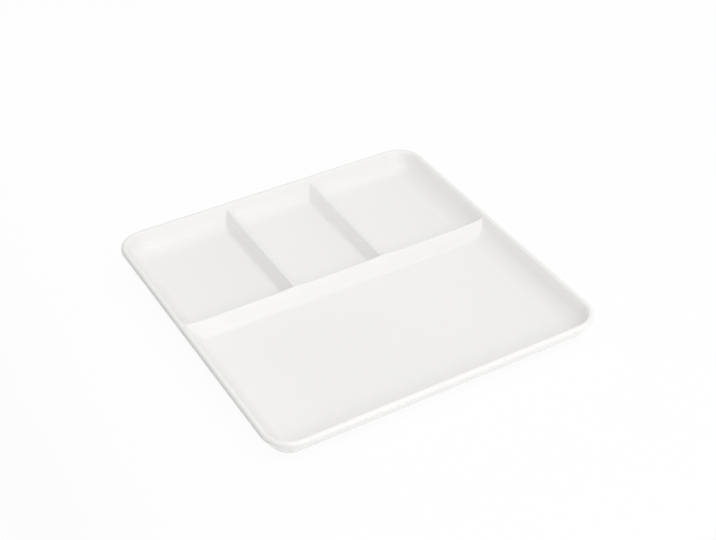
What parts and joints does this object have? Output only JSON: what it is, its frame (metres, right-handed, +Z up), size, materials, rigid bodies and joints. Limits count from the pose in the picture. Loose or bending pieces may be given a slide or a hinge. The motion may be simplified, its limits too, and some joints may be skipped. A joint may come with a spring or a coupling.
{
  "type": "divided serving dish",
  "caption": "Shallow square ceramic dish with rounded corners, a coved wall with a rounded lip, and low dividers that part a large front compartment from small ones behind it.",
  "frame": {"origin": "middle of the plane that the foot ring stands on", "axes": "+X along the long divider, +Y from the large front compartment to the small back ones, +Z up out of the dish"},
  "size_m": [0.245, 0.245, 0.0208],
  "materials": {
    "glaze": "glossy white glaze",
    "bare_foot": "bare fired clay, matt"
  },
  "bodies": {
    "root": {"floor_panel": "glaze", "rim_wall": "glaze", "long_divider": "glaze", "left_divider": "glaze", "right_divider": "glaze", "foot_ring": "bare_foot"}
  },
  "joints": []
}
